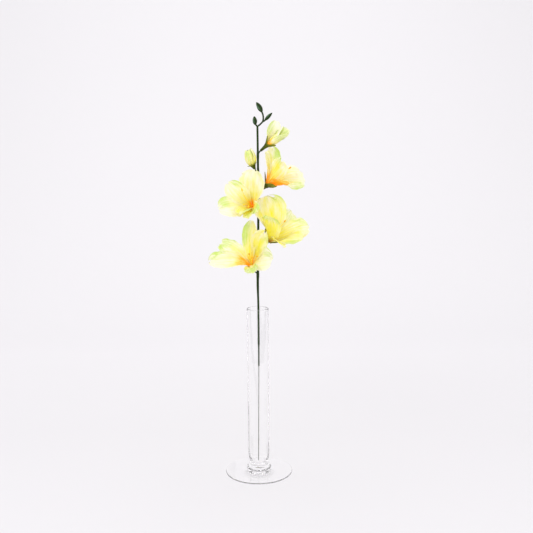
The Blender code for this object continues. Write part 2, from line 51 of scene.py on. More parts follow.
# Camera, as fitted to the photo's frame of 533 by 533
PHOTO_SIZE = 533
FOCAL_PIXELS = 745
SENSOR = 36.0
CLIP_START = 0.01
CAMERA_PLACE = (0.0162, -1.285, 0.561)
CAMERA_PITCH = 8.28
CAMERA_ROLL = -0.45

# Floor and backdrop: one sheet that runs back, curves up and gets slightly paler
FLOOR_DEPTHS = (-0.6, 0.2, 1.0)
FLOOR_DROP = 0.2 * MM
SHEET_HALF_WIDTH = 1.7
CURVE_RADIUS = 1.4
CURVE_START = 0.1
CURVE_ROWS = 14
BACKDROP_TOP = 5.0
NEAR_PAPER = (0.734, 0.723, 0.741, 1.0)
FAR_PAPER = (0.776, 0.765, 0.783, 1.0)
PALER_FROM = 0.2
PALER_BY = 1.6

# Light from all round, and lamps, each with its place, target, size and power
SKY = (1.0, 0.99, 1.0, 1.0)
SKY_STRENGTH = 0.94
LAMPS = (
    ("key", (-1.3, -1.9, 1.7), (0, 0, 0.4), 1.5, 18),
    ("fill", (1.4, -1.8, 1.1), (0, 0, 0.4), 1.5, 12),
    ("top", (0.0, 0.9, 2.6), (0, 1.3, 0.0), 2.0, 13),
)

# Dark cards: the glass mirrors the one by the camera, and the low ones at the sides show through
# it as the dark lines on its edges. Each has its ends on the floor plan, its lowest and highest
# z, how pale it is, and whether the glass mirrors it.
CARDS = (
    ("card_front", (-0.4, -1.45), (0.4, -1.45), -0.7, 0.35, 0.01, True),
    ("card_left", (-0.045, 0.066), (-0.075, 0.045), 0.0, 0.105, 0.5, False),
    ("card_right", (0.06, 0.055), (0.08, -0.02), 0.0, 0.03, 0.2, False),
)

# Vase
FOOT_RADIUS, _, VASE_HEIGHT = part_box("vase")[1]
TUBE_RADIUS = 19.25 * MM
WALL = 2.0 * MM
FLOOR_Z = 18.0 * MM
FLOOR_RADIUS = 8.5 * MM
BORE_TAPER_TOP = 44 * MM
TUBE_TAPER_TOP = 46 * MM
WAIST_RADIUS = 13.2 * MM
WAIST_Z = 15.2 * MM
KNOP_RADIUS = 21.8 * MM
KNOP_MIDDLE_Z = 8.6 * MM
KNOP_BULGE = 4.6 * MM
FOOT_EDGE = 2.4 * MM
FOOT_FLARE = 9 * MM
WAIST_ANGLE = 12
WAIST_OUT = 0.2 * MM
WAIST_DROP = 1.2 * MM
KNOP_ANGLE = 62
VASE_COLUMNS = 144
TAPER_ROWS = 20
STRAIGHT_ROWS = 12
LIP_ROWS = 13
WAIST_ROWS = 8
KNOP_ROWS = 16
FOOT_ROWS = 24
EDGE_ROWS = 15

# Wire and stem
GAP = 0.3 * MM
WIRE_RADIUS = 0.6 * MM
WIRE_TOP_Z = 596 * MM
STEM_BOTTOM_Z = 193.1 * MM
STEM_TOP_Z = 615.2 * MM
NECK_RADIUS = 1.3 * MM
STEM_RADIUS = 1.85 * MM
STEM_THICK_RADIUS = 2.25 * MM
STEM_TIP_RADIUS = 1.8 * MM
STEM_RADII = (
    (STEM_BOTTOM_Z, NECK_RADIUS),
    (226 * MM, NECK_RADIUS),
    (234 * MM, STEM_RADIUS),
    (322 * MM, STEM_RADIUS),
    (336 * MM, STEM_THICK_RADIUS),
    (STEM_TOP_Z, STEM_TIP_RADIUS),
)
RIM_X = 1.2 * MM
RIM_SEAT = TUBE_RADIUS - WALL - STEM_RADIUS - GAP
RIM_Y = sqrt(RIM_SEAT ** 2 - RIM_X ** 2)
STEM_ROUTE = (
    (-1.0 * MM, 0.1 * MM, FLOOR_Z + GAP),
    (1.1 * MM, 9.4 * MM, 193 * MM),
    (RIM_X, RIM_Y, 299 * MM),
    (0.5 * MM, 17.0 * MM, 340 * MM),
    (1.0 * MM, 18.1 * MM, 366 * MM),
    (2.4 * MM, 21.6 * MM, 452 * MM),
    (2.8 * MM, 24.2 * MM, 530 * MM),
    (2.4 * MM, 26.0 * MM, STEM_TOP_Z),
)
BRANCH_RADIUS = 1.6 * MM
BRANCH_STRAIGHT = 0.8 * MM
BRANCH_END_RADIUS = 1.15 * MM
BRANCH_RISE = 0.35
BRANCH_LEAN = 0.2
BRANCH_ARRIVAL = 0.4
TWIG_RADIUS = 1.45 * MM
JOINT_SWELL = 0.45 * MM
JOINT_LENGTH = 5 * MM
STEM_ROWS = 190
BRANCH_ROWS = 22
TWIG_ROWS = 8
WIRE_ROWS = 150
SIDEWAYS = Vector((1.0, 0.35, 0.1))

# Sections of tubes: how many sides and ribs, how deep the ribs are, and how they turn at each row
STEM_SECTION = (24, 6, 0.03)
LIMB_SECTION = (18, 6, 0.03)
WIRE_SECTION = (14, 2, 0.04, 0.7)
ANTHER_SECTION = (20, 2, 0.18)

# Closed buds: an almond whose ridges turn round it
BUD_RIDGES = 3
BUD_RIDGE_DEPTH = 0.05
BUD_TWIST = 2.25
BUD_SIDES = 30
BUD_ROWS = 26
BUD_BLUNTNESS = 0.06
BUD_WEIGHT = 0.86
BUD_FULLNESS = 0.72
BUD_POINT = 0.07
BUD_TIP = 0.8
BUD_ARCH = 0.075
BUD_REACH = 1.2
FORK = (2.4, 26.0, 615.2)
SECOND_FORK = (11.2, 26.6, 623.1)
TWIGS = (
    (FORK, (0.6, 25.7, 617.0), (-1.5, 25.2, 619.6)),
    (FORK, (6.4, 26.2, 618.3), SECOND_FORK,
     (12.6, 27.2, 628.5), (12.0, 27.6, 635.5), (9.4, 28.0, 642.0)),
    (SECOND_FORK, (14.0, 27.4, 624.6), (17.0, 28.6, 627.2)),
)
CLOSED_BUDS = (
    ((-1.4, 25.2, 618.4), (-3.0, 23.0, 632.8), 3.9),
    ((10.2, 27.9, 640.2), (0.8, 29.5, 656.8), 4.3),
    ((15.6, 28.1, 626.0), (28.4, 32.0, 638.8), 3.1),
)

# Petals: the same blades as the solids have, in thinner and finer cloth
CLOTH_THICKNESS = 0.36 * MM
PETAL_COLUMNS = 26
PETAL_ROWS = 38
TIP_CROWDING = 1.5
RISE_POWER = 1.2
FALL_POWER = 2.5
TIP_WIDTH = 0.06
OPEN_RING_RADIUS = 4.2 * MM
CLAW_WIDTH = 5.2 * MM
CLAW_REACH = 0.3
TIP_REACH = 0.35
CLAW_CUP = 70
CUP_OPENS_BY = 0.625
WAVES = 1.2
WAVE_SHIFT = 1.9
PLEATS = 6.5
PLEAT_DEPTH = 0.34 * MM
PLEAT_WANDER = 3
PLEAT_AT_MIDDLE = 0.4
PLEAT_TIP_FADE = 0.6
RUFFLE = 2.6 * MM
RUFFLE_SIZE = 9 * MM
NOTCH = 0.09
NOTCH_SIZE = 8 * MM
NOTCH_MIDDLE = 0.25
CRUMPLE = 1.5 * MM
CRUMPLE_SIZE = 15 * MM
BUD_SOFTNESS = 0.45
SEED_BY_ORDER = 7.9
SEED_BY_ROOT = 0.1
SLOPE_STEP = 0.01
RING_LOW = 1.35 * MM
RING_HIGH = 2.55 * MM
RING_HOLE_RADIUS = 1.3 * MM
RING_COLUMNS = 40
RING_DYE = (0.8, 0.0, 0.8)

# Claws: how far out they stand, the angle that they leave at, and their share of the full width
OUTER_CLAW = (3.3 * MM, 40, 1.0)
INNER_CLAW = (2.5 * MM, 27, 0.85)

# Where across or along a petal something sets in, and where it is full
SIDE_BAND = (0.55, 1.0)
RIM_BAND = (0.75, 1.0)
FREE_BAND = (0.2, 0.6)
TIP_BAND = (0.6, 1.0)
PLEAT_BAND = (0.02, 0.25)
CRUMPLE_BAND = (0.15, 0.5)
GREEN_SIDE_BAND = (-0.4, 0.8)
GREEN_TIP_BAND = (0.9, 1.0)

# Dyes: how far each one goes, and how it fades towards the edges
CLAW_YELLOW = 0.8
CLAW_YELLOW_TO = 0.48
YELLOW_FADE = 0.6
YELLOW_POWER = 2.5
GREEN_LENGTH = 0.38
GREEN_EDGE_LEAD = 0.1
GREEN_FADE = 0.5
ORANGE_POWER = 2.4
ORANGE_FADE = 0.35
CLOTH_UNIT = 50 * MM
CLOTH_SHIFT = 3.7

# Calyx and stamens
CALYX_COLUMNS = 72
CALYX_FLOOR = 1.0 * MM
CALYX_WALL = 0.8 * MM
CUP_DRAFT = 0.1 * CALYX_WALL
CUP_CLEARANCE = 0.6 * MM
LIP_BELOW_RING = 0.3 * MM
LIP_LENGTH = 2.5 * MM
LOBES = 3
LOBE_SHARPNESS = 1.3
LOBE_NARROWING = 0.3
LOBE_ROWS = 10
LOBE_EDGE = ((1.0, 0.4), (0.97, 0.8), (0.8, 1.0), (0.6, 1.0), (0.4, 1.0), (0.2, 1.0))
KEEL = 0.35 * MM
KEEL_SHARPNESS = 12
SLEEVE_RADIUS = 2.2 * MM
SLEEVE_SWELL = 1.15
SLEEVE_SWELL_RATE = 1.8
SLEEVE_EDGE = 0.96
SLEEVE_ROUNDING = 0.4 * MM
SLEEVE_TOP = -0.5 * MM
SLEEVE_FLARE = 0.75
SLEEVE_ROWS = 9
SOCKET_RADIUS = 1.5 * MM
SOCKET_DEPTH = 4 * MM
PEG_RADIUS = 0.8 * MM
PEG_TOP = 4.4 * MM
BUD_PEG_TOP = 3.2 * MM
CALYX_RIB = 0.14 * MM
CALYX_RIBS = 12
SLEEVE_PALE = 0.2
LIP_PALE = 0.25
CUP_PALE = 0.3
CAP_RADIUS = 1.7 * MM
CAP_SIDES = 24
CAP_ROWS = ((0.0, 0.9), (0.15, 1.0), (1.55, 1.0), (2.4, 0.92), (3.2, 0.6), (3.95, 0.12))
FILAMENT_ROOT = 1.2 * MM
FILAMENT_RADIUS = 0.55 * MM
FILAMENT_TIP_RADIUS = 0.34 * MM
FILAMENT_LEAVING = 0.45
FILAMENT_ARRIVAL = 0.3
FILAMENT_SIDES = 12
FILAMENT_ROWS = 26
ANTHER_RADIUS = 1.2 * MM
ANTHER_LENGTH = 6.0 * MM
ANTHER_END = 0.12
ANTHER_ROWS = 17
RIPE_REACH = 5 * MM


def shade(red, green, blue):
    """A display colour of 0 to 255 as the linear colour that shaders take."""
    values = [value / 255 for value in (red, green, blue)]
    linear = [v / 12.92 if v <= 0.04045 else ((v + 0.055) / 1.055) ** 2.4 for v in values]
    return (*linear, 1.0)


# Colours of the cloth, the plastics and the wire
CREAM = shade(255, 253, 241)
YELLOW = shade(255, 249, 76)
GREEN = shade(222, 240, 142)
GOLD = shade(255, 226, 40)
ORANGE = shade(255, 172, 6)
# Painted glow: the orange throats shine a little by themselves, painted light that lifts their shade
THROAT_PAINTED_GLOW = shade(255, 140, 0)
VEINS = shade(250, 244, 190)
STEM_SHADES = (shade(28, 44, 18), shade(48, 68, 32))
WIRE_SHADES = (shade(58, 66, 46), shade(90, 96, 74))
# Painted highlight: the pale green painted along the closed buds' ridges, standing in for the sheen of
# the light on them
PAINTED_RIDGE_HIGHLIGHT = shade(92, 126, 96)
CALYX_SHADES = (shade(48, 62, 16), shade(134, 138, 34))
STAMEN_SHADES = (shade(250, 220, 36), shade(232, 168, 10))
BLACK = (0.0, 0.0, 0.0, 1.0)
WHITE = (1.0, 1.0, 1.0, 1.0)


def turned(first, second, angle):
    """The direction at an angle from the first of two square directions, towards the second."""
    return first * cos(angle) + second * sin(angle)


class Dye(NamedTuple):
    """How a petal is dyed: yellow depth, green at its tip and on a side, and orange from its claw."""
    yellow: float
    green: float
    side: float
    green_from: float
    orange: float
    orange_to: float


class Petal(NamedTuple):
    """One blade: where its claw stands, in degrees round the axis from the top, its tip from the
    bloom's base and its width in millimetres, whether it is an outer one, its dye, how many degrees
    each half cups by, how far it rolls, curls and waves, and where along it is widest."""
    around: float
    tip: tuple
    width: float
    outer: bool
    dye: Dye
    left: float = 15
    right: float = 15
    roll: float = 0
    curl: float = 0.35
    wave: float = 2.0
    full: float = 0.6


class Bloom(NamedTuple):
    """A corolla in its calyx, on a side branch that leaves the stem at the height root, in
    millimetres. Opening spreads its claws by some degrees, and ripe is how far its stamens darken
    towards their anthers."""
    name: str
    base: tuple
    axis: tuple
    root: float
    petals: tuple
    anthers: tuple = ()
    ring_radius: float = 4.2
    lobe_slope: float = 52
    lobe_length: float = 15
    lobe_turn: float = 0
    sleeve: float = 9
    opening: float = 0
    ripe: float = 1.0


# As in the solids, but bloom_right's last petal is 3 mm wider and its tip is 2 mm further left
BLOOMS = (
    Bloom("bloom_top_right", (16.4, 19.5, 512.9), (0.76, -0.10, 0.64), 492, (
        Petal(10, (1, 3, 61), 30, True, Dye(0.55, 0.1, 0, 0.6, 1.0, 0.42), 10, 30, roll=-30),
        Petal(70, (28, -38, 43), 36, False, Dye(0.6, 0.7, -1, 0.72, 0.9, 0.3), full=0.72),
        Petal(130, (42, -34, 6), 28, True, Dye(0.85, 0.0, 0, 0.6, 1.0, 0.9), roll=20),
        Petal(190, (69, 8, 3), 36, False, Dye(0.15, 0.75, -1, 0.42, 0.5, 0.3), roll=40),
        Petal(250, (63, 32, 23), 40, True, Dye(0.15, 0.15, 0, 0.7, 0.4, 0.4)),
        Petal(310, (12, 30, 68), 38, False, Dye(0.3, 0.95, -1, 0.4, 0.8, 0.3), roll=-20),
    ), ((31, -4, 24), (42, 2, 31), (27, -7, 18)), lobe_slope=51, lobe_length=19),
    Bloom("bloom_left", (-7.3, 11.3, 477.4), (-0.37, -0.86, 0.35), 466, (
        Petal(48, (-42, -23, 43), 36, False, Dye(0.2, 0.55, -1, 0.6, 0.7, 0.17)),
        Petal(105, (-58, -34, -1), 44, True, Dye(0.08, 0.8, -1, 0.5, 0.3, 0.16)),
        Petal(160, (-20, -52, -9), 28, False, Dye(0.8, 0.7, 1, 0.3, 0.7, 0.26)),
        Petal(212, (-6, -54, -16), 24, True, Dye(1.0, 0.3, 0, 0.6, 0.7, 0.3)),
        Petal(270, (9, -52, -6), 24, False, Dye(0.8, 0.6, 0, 0.45, 0.9, 0.4)),
        Petal(345, (4, -18, 65), 50, True, Dye(0.2, 0.3, -1, 0.7, 1.0, 0.17), full=0.55),
    ), ((-17, -32, 31), (-14, -40, 6), (-6, -38, 3)), lobe_turn=20, ripe=0.2),
    Bloom("bloom_right", (18.3, 12.1, 417.3), (0.64, -0.43, 0.64), 398, (
        Petal(78, (3, -48, 46), 40, True, Dye(0.9, 0.85, 0, 0.74, 0.4, 0.2), roll=50, full=0.5),
        Petal(128, (26, -56, -4), 22, False, Dye(1.0, 0.0, 0, 0.6, 0.6, 0.3)),
        Petal(180, (60, -38, 6), 38, True, Dye(0.6, 0.75, -1, 0.5, 0.4, 0.2), roll=40, full=0.7),
        Petal(232, (73, -2, 24), 46, False, Dye(0.4, 0.5, 1, 0.6, 0.4, 0.2), full=0.7),
        Petal(285, (44, 41, 49), 38, True, Dye(0.25, 0.4, 0, 0.6, 0.4, 0.2)),
        Petal(335, (-1, 5, 79), 58, False, Dye(0.6, 0.9, -1, 0.74, 0.4, 0.2), roll=-50, full=0.7),
    ), ((30, -18, 36), (20, -24, 29), (12, -20, 40)), lobe_slope=56, lobe_length=17),
    Bloom("bloom_low_left", (-8.3, 5.2, 372.6), (-0.35, -0.50, 0.79), 356, (
        Petal(10, (-1, 5, 82), 30, False, Dye(0.6, 0.95, 1, 0.35, 0.5, 0.24)),
        Petal(70, (-58, 30, 40), 36, True, Dye(0.12, 0.75, 0, 0.6, 0.5, 0.2)),
        Petal(130, (-76, -6, 11), 51, False, Dye(0.05, 0.8, -1, 0.62, 1.0, 0.32)),
        Petal(200, (3, -60, -2), 24, True, Dye(0.3, 0.75, 0, 0.4, 0.3, 0.2)),
        Petal(262, (36, -46, 20), 44, False, Dye(0.05, 0.4, 1, 0.5, 0.4, 0.2), roll=40),
        Petal(318, (24, -26, 66), 34, True, Dye(0.75, 0.3, -1, 0.5, 0.6, 0.28), roll=50),
    ), ((-5, -24, 26), (0, -28, 20), (9, -34, 23)), lobe_length=13, lobe_turn=50),
)


# The left bud's petals turn up from their calyx
LEFT_BUD_HEADING = Vector((-0.27, -0.10, 0.96)).normalized()


def bud_petal(around, along, out, width, outer, curl, dye):
    """A petal of the left bud, which bulges low down and closes over the others at its tip."""
    first = (UP - LEFT_BUD_HEADING * LEFT_BUD_HEADING.z).normalized()
    side = turned(first, LEFT_BUD_HEADING.cross(first), radians(around))
    tip = tuple(LEFT_BUD_HEADING * along + side * out)
    return Petal(around, tip, width, outer, dye, 55, 55, 0, curl, 1, 0.45)


BUDS = (
    Bloom("bud_right", (17.4, 24.0, 582.2), (0.75, -0.12, 0.65), 565, (
        Petal(310, (18, 6, 43), 26, True, Dye(0.0, 0.75, 1, 0.25, 0.8, 0.16), 50, 40, -50, 0.1, 1),
        Petal(60, (29, -5, 33), 20, False, Dye(0.4, 0.7, -1, 0.3, 1.0, 0.26), 55, 55, -20, 0.1, 1),
        Petal(150, (38, -9, 16), 24, True, Dye(0.3, 0.7, 0, 0.4, 1.0, 0.3), 55, 55, curl=0.1, wave=1),
        Petal(235, (40, 8, 27), 24, False, Dye(0.3, 0.6, 0, 0.5, 0.8, 0.2), 55, 55, curl=0.1, wave=1),
    ), ring_radius=3.6, lobe_slope=34, lobe_length=14, lobe_turn=32, sleeve=13, opening=7),
    Bloom("bud_left", (-5.0, 22.5, 546.8), (-0.42, -0.12, 0.90), 536, (
        bud_petal(350, 32, 5, 25, True, -0.6, Dye(0.7, 0.5, 1, 0.4, 0.1, 0.1)),
        bud_petal(80, 30, 5, 20, False, -0.7, Dye(0.7, 0.5, 0, 0.4, 0.1, 0.1)),
        bud_petal(170, 31, 6, 24, True, -0.8, Dye(0.6, 0.5, 1, 0.4, 0.1, 0.1)),
        bud_petal(260, 31, 5, 20, False, -0.7, Dye(0.6, 0.5, 0, 0.4, 0.1, 0.1)),
    ), ring_radius=3.6, lobe_slope=66, lobe_length=5.5, lobe_turn=60, sleeve=5.5, opening=30),
)


def make_camera():
    """The photo's camera."""
    lens = bpy.data.cameras.new("camera")
    lens.sensor_width = SENSOR
    lens.lens = FOCAL_PIXELS / PHOTO_SIZE * SENSOR
    lens.clip_start = CLIP_START
    camera = place("camera", lens)
    camera.location = CAMERA_PLACE
    level = Euler((radians(90 - CAMERA_PITCH), 0, 0)).to_matrix()
    camera.rotation_euler = (level @ Matrix.Rotation(radians(CAMERA_ROLL), 3, "Z")).to_euler()
    SCENE.camera = camera


def place(name, data):
    """Put a mesh, camera or light into the scene as an object."""
    obj = bpy.data.objects.new(name, data)
    SCENE.collection.objects.link(obj)
    return obj


def finish_piece(obj, look, node, sharp=50):
    """Give a piece its material and shading, put it on the body, and hide the node that it stands for.
    """
    obj.data.materials.clear()
    obj.data.materials.append(look)
    obj.data.shade_smooth()
    obj.data.set_sharp_from_angle(angle=radians(sharp))
    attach(obj, BODY)
    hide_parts(node)


def solid(name, verts, faces):
    """An object whose faces all point out."""
    mesh = bpy.data.meshes.new(name)
    mesh.from_pydata([tuple(vert) for vert in verts], [], faces)
    build = bmesh.new()
    build.from_mesh(mesh)
    bmesh.ops.recalc_face_normals(build, faces=build.faces)
    build.to_mesh(mesh)
    build.free()
    return place(name, mesh)


def bridge(low, high):
    """Faces between two closed rings of vertex numbers."""
    count = len(low)
    return [(low[i], low[(i + 1) % count], high[(i + 1) % count], high[i]) for i in range(count)]


def border(grid):
    """The numbers round the edge of a grid of rows."""
    return (grid[0][:-1] + [row[-1] for row in grid[:-1]]
            + grid[-1][:0:-1] + [row[0] for row in grid[:0:-1]])


def closed_skin(first, sides, count, low_end, high_end):
    """Faces of rings numbered from a first vertex, closed on a vertex at both ends."""
    rings = [list(range(first + row * sides, first + (row + 1) * sides)) for row in range(count)]
    faces = [face for low, high in zip(rings, rings[1:]) for face in bridge(low, high)]
    for side in range(sides):
        after = (side + 1) % sides
        faces.append((low_end, rings[0][after], rings[0][side]))
        faces.append((high_end, rings[-1][side], rings[-1][after]))
    return faces


def smooth(low, high, value):
    """0 below low, 1 above high, and a smooth step between them."""
    share = min(1.0, max(0.0, (value - low) / (high - low)))
    return share * share * (3 - 2 * share)


def table(rows, value):
    """Read a table of (key, value) rows between its keys."""
    for (low, first), (high, second) in zip(rows, rows[1:]):
        if value <= high:
            share = max(0.0, (value - low) / (high - low))
            return first + (second - first) * share
    return rows[-1][1]


def bezier(start, leave, arrive, end, share):
    """A point on a cubic curve."""
    rest = 1 - share
    return (start * rest ** 3 + leave * (3 * rest ** 2 * share)
            + arrive * (3 * rest * share ** 2) + end * share ** 3)


class Nodes:
    """Short calls for building one material's node tree."""

    def __init__(self, name, inputs):
        self.material = bpy.data.materials.new(name)
        self.material.use_nodes = True
        self.tree = self.material.node_tree
        self.shader = self.tree.nodes["Principled BSDF"]
        for key, value in inputs.items():
            self.feed(value, self.shader.inputs[key])

    def feed(self, value, target):
        """Set an input to a number or colour, or join an output to it."""
        if isinstance(value, bpy.types.NodeSocket):
            self.tree.links.new(value, target)
        else:
            target.default_value = value

    def add(self, kind, inputs=(), **settings):
        """A node with its properties set and its inputs fed."""
        node = self.tree.nodes.new(kind)
        for key, value in settings.items():
            setattr(node, key, value)
        for key, value in dict(inputs).items():
            self.feed(value, node.inputs[key])
        return node

    def spot(self):
        """The place on the object."""
        return self.add("ShaderNodeTexCoord").outputs["Object"]

    def kept(self, name):
        """The number that each vertex keeps under a name."""
        return self.add("ShaderNodeAttribute", attribute_name=name).outputs["Fac"]

    def math(self, operation, first, second=0.0, clamp=False):
        """One sum of two values."""
        node = self.add("ShaderNodeMath", {0: first, 1: second}, operation=operation, use_clamp=clamp)
        return node.outputs[0]

    def swing(self, value, size, middle=0.5, clamp=False):
        """How far a value is from a middle one, times a size."""
        return self.math("MULTIPLY", self.math("SUBTRACT", value, middle), size, clamp)

    def mix(self, share, first, second, blend="MIX"):
        """A mix of two colours."""
        inputs = {"Factor": share, "A": first, "B": second}
        return self.add("ShaderNodeMix", inputs, data_type="RGBA", blend_type=blend).outputs["Result"]

    def layer(self, share, first, second):
        """A mix of two shaders."""
        return self.add("ShaderNodeMixShader", {"Fac": share, 1: first.outputs[0], 2: second.outputs[0]})

    def scaled(self, vector, scale):
        """A vector times a scale for each axis."""
        return self.add("ShaderNodeVectorMath", {0: vector, 1: scale}, operation="MULTIPLY").outputs[0]

    def noise(self, vector, scale, detail=3.0, roughness=0.5):
        """A noise value of 0 to 1 around 0.5."""
        inputs = {"Vector": vector, "Scale": scale, "Detail": detail, "Roughness": roughness}
        return self.add("ShaderNodeTexNoise", inputs).outputs["Fac"]

    def bump(self, height, strength, distance):
        """A normal from a height, joined to the main shader."""
        inputs = {"Height": height, "Strength": strength, "Distance": distance}
        normal = self.add("ShaderNodeBump", inputs).outputs["Normal"]
        self.feed(normal, self.shader.inputs["Normal"])
        return normal

    def paint(self, colour):
        """Join a colour to the main shader."""
        self.feed(colour, self.shader.inputs["Base Color"])

    def show(self, shader):
        """Make a shader the material's surface."""
        self.feed(shader.outputs[0], self.tree.nodes["Material Output"].inputs["Surface"])


def cloth_material(name, sheerness):
    """Thin woven cloth, dyed cream to yellow with green and orange bleeding along its threads. Its deep
    orange throat glows: painted light that lifts the shade there.
    """
    # Emission Strength sets how bright the painted glow of the orange throats is
    nodes = Nodes(name, {"Roughness": 0.72, "Specular IOR Level": 0.25, "Sheen Weight": 0.12,
                         "Sheen Roughness": 0.5, "Emission Strength": 0.4})
    dye = nodes.add("ShaderNodeAttribute", attribute_name="dye").outputs["Color"]
    parts = nodes.add("ShaderNodeSeparateColor", {"Color": dye}).outputs
    length = nodes.add("ShaderNodeUVMap", uv_map="cloth").outputs["UV"]
    streaks = nodes.noise(nodes.scaled(length, (15.0, 1.5, 1.0)), 1.0, 4.0, 0.65)
    blots = nodes.noise(nodes.scaled(length, (4.0, 2.6, 1.0)), 1.0)
    veins = nodes.noise(nodes.scaled(length, (34.0, 1.2, 1.0)), 1.0, 2.0)
    wander = nodes.math("ADD", nodes.swing(streaks, 2.6), nodes.swing(blots, 1.6))

    def soaked(amount, reach):
        """A dye's amount, spread unevenly where it is neither none nor full."""
        between = nodes.math("MULTIPLY", amount, nodes.math("SUBTRACT", 1.0, amount))
        moved = nodes.math("MULTIPLY", nodes.math("MULTIPLY", between, 4.0), wander)
        return nodes.math("ADD", amount, nodes.math("MULTIPLY", moved, reach), clamp=True)

    orange = soaked(parts["Blue"], 1.0)
    deep_dye_and_glow = nodes.math("MULTIPLY", orange, orange)
    colour = nodes.mix(soaked(parts["Red"], 0.8), CREAM, YELLOW)
    colour = nodes.mix(soaked(parts["Green"], 1.1), colour, GREEN)
    colour = nodes.mix(orange, colour, GOLD)
    colour = nodes.mix(deep_dye_and_glow, colour, ORANGE)
    colour = nodes.mix(nodes.math("MULTIPLY", veins, 0.2), colour, VEINS, "MULTIPLY")
    nodes.paint(colour)
    # Painted light: the deep orange throat glows, lifting the shade that the petals cast into it
    nodes.feed(nodes.mix(deep_dye_and_glow, BLACK, THROAT_PAINTED_GLOW), nodes.shader.inputs["Emission Color"])
    wave = {"Vector": length, "Scale": 18.0, "Distortion": 1.0}
    threads = [nodes.add("ShaderNodeTexWave", wave, bands_direction=way).outputs["Fac"] for way in "XY"]
    weave = nodes.math("ADD", *threads)
    relief = nodes.math("ADD", nodes.math("MULTIPLY", weave, 0.25), veins)
    normal = nodes.bump(relief, 0.3, 0.3 * MM)
    through = nodes.add("ShaderNodeBsdfTranslucent", {"Color": colour, "Normal": normal})
    both = nodes.layer(sheerness, nodes.shader, through)
    nodes.show(nodes.layer(0.1, both, nodes.add("ShaderNodeBsdfTransparent")))
    return nodes.material


def plastic_material(name, shades, roughness):
    """Moulded plastic in two close shades, with a fine drawn grain along it and a painted highlight
    along the closed buds' ridges.
    """
    nodes = Nodes(name, {"Specular IOR Level": 0.12})
    spot = nodes.spot()
    grain = nodes.noise(nodes.scaled(spot, (1.0, 1.0, 0.12)), 1500.0, 2.0)
    mottle = nodes.noise(spot, 90.0)
    share = nodes.math("ADD", nodes.math("MULTIPLY", grain, 0.5), nodes.math("MULTIPLY", mottle, 0.5))
    plain = nodes.mix(nodes.swing(share, 2.2, 0.3, clamp=True), *shades)
    # Painted highlight along the closed buds' ridges
    nodes.paint(nodes.mix(nodes.kept("painted_ridge_highlight"), plain, PAINTED_RIDGE_HIGHLIGHT))
    rough = nodes.math("ADD", nodes.math("MULTIPLY", grain, 0.2), roughness - 0.1)
    nodes.feed(rough, nodes.shader.inputs["Roughness"])
    nodes.bump(grain, 0.25, 0.15 * MM)
    return nodes.material


def calyx_material():
    """Olive plastic, paler along the lobes than at the sleeve."""
    nodes = Nodes("calyx_plastic", {"Roughness": 0.5, "Specular IOR Level": 0.12})
    spot = nodes.spot()
    mottle = nodes.swing(nodes.noise(spot, 260.0), 0.7)
    nodes.paint(nodes.mix(nodes.math("ADD", nodes.kept("along"), mottle, clamp=True), *CALYX_SHADES))
    nodes.bump(nodes.noise(spot, 900.0, 2.0), 0.2, 0.15 * MM)
    return nodes.material


def stamen_material():
    """Plastic filaments that turn from yellow at the cap to amber at the anthers."""
    nodes = Nodes("stamen_plastic", {"Roughness": 0.55})
    mottle = nodes.noise(nodes.spot(), 700.0, 2.0)
    share = nodes.math("ADD", nodes.kept("along"), nodes.swing(mottle, 0.5), clamp=True)
    nodes.paint(nodes.mix(share, *STAMEN_SHADES))
    nodes.bump(mottle, 0.3, 0.2 * MM)
    return nodes.material


def glass_material():
    """Clear blown glass with a faint ripple. Light reaches the floor straight through it, and a
    part of the light that it has mirrored twice goes straight on."""
    nodes = Nodes("clear_glass", {"Base Color": WHITE, "Roughness": 0.0, "IOR": 1.5,
                                  "Transmission Weight": 1.0})
    nodes.bump(nodes.noise(nodes.spot(), 22.0, 1.0), 0.05, 0.5 * MM)
    path = nodes.add("ShaderNodeLightPath").outputs
    straight = nodes.math("MAXIMUM", path["Is Shadow Ray"], path["Is Diffuse Ray"])
    mirrored = nodes.math("GREATER_THAN", path["Glossy Depth"], 1.5)
    share = nodes.math("MAXIMUM", straight, nodes.math("MULTIPLY", mirrored, 0.18))
    nodes.show(nodes.layer(share, nodes.shader, nodes.add("ShaderNodeBsdfTransparent")))
    return nodes.material


def arc(radius, height, bulge, angles):
    """Points on an arc round (radius, height), at angles in degrees."""
    turns = [radians(angle) for angle in angles]
    return [(radius + bulge * cos(turn), height + bulge * sin(turn)) for turn in turns]


def spread(first, last, count):
    """Evenly spaced values, with both ends."""
    return [first + (last - first) * step / (count - 1) for step in range(count)]


def curve(start, leave, arrive, end, count):
    """Points along a cubic curve, with both ends."""
    return [bezier(start, leave, arrive, end, share) for share in spread(0, 1, count)]


def taper(low, high, angles):
    """Points on a quarter of an oval from a narrow low end to a wide high one."""
    turns = [radians(angle) for angle in angles]
    return [(low[0] + (high[0] - low[0]) * sin(turn),
             low[1] + (high[1] - low[1]) * (1 - cos(turn))) for turn in turns]


